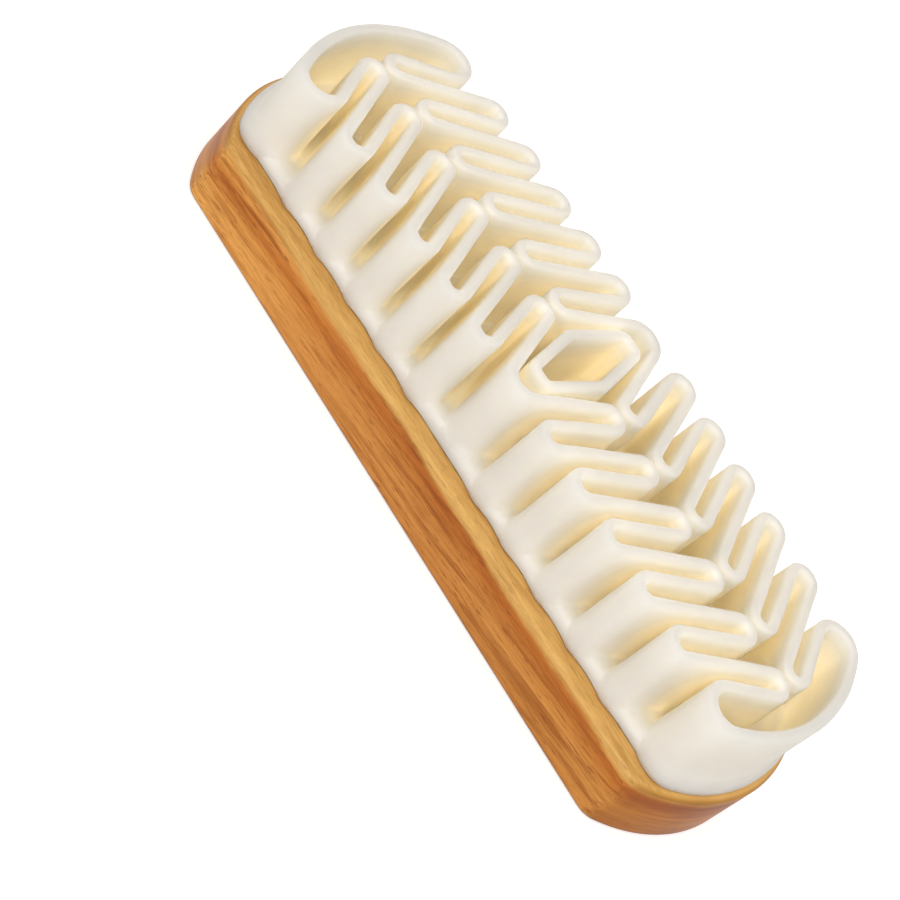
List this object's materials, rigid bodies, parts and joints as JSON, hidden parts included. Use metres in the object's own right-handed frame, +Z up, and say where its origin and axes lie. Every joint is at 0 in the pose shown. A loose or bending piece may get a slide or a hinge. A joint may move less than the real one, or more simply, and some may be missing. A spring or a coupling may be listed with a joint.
{
  "type": "suede brush",
  "caption": "Crepe suede brush: a flat beech block with curved ends carries a natural rubber head of one wall folded into slanting fingers, with a ring in the middle.",
  "frame": {"origin": "middle of the block's flat back, the face that the brush rests on", "axes": "+X along the block, +Y across it, +Z up from the back to the rubber's rim"},
  "size_m": [0.14, 0.0486, 0.031],
  "materials": {
    "beech": "satin",
    "glue": "matte",
    "crepe_rubber": "matte"
  },
  "bodies": {
    "root": {"wooden_handle": "beech", "glue_layer": "glue", "rubber_sheet": "crepe_rubber", "folded_wall": "crepe_rubber", "centre_ring": "crepe_rubber"}
  },
  "joints": []
}
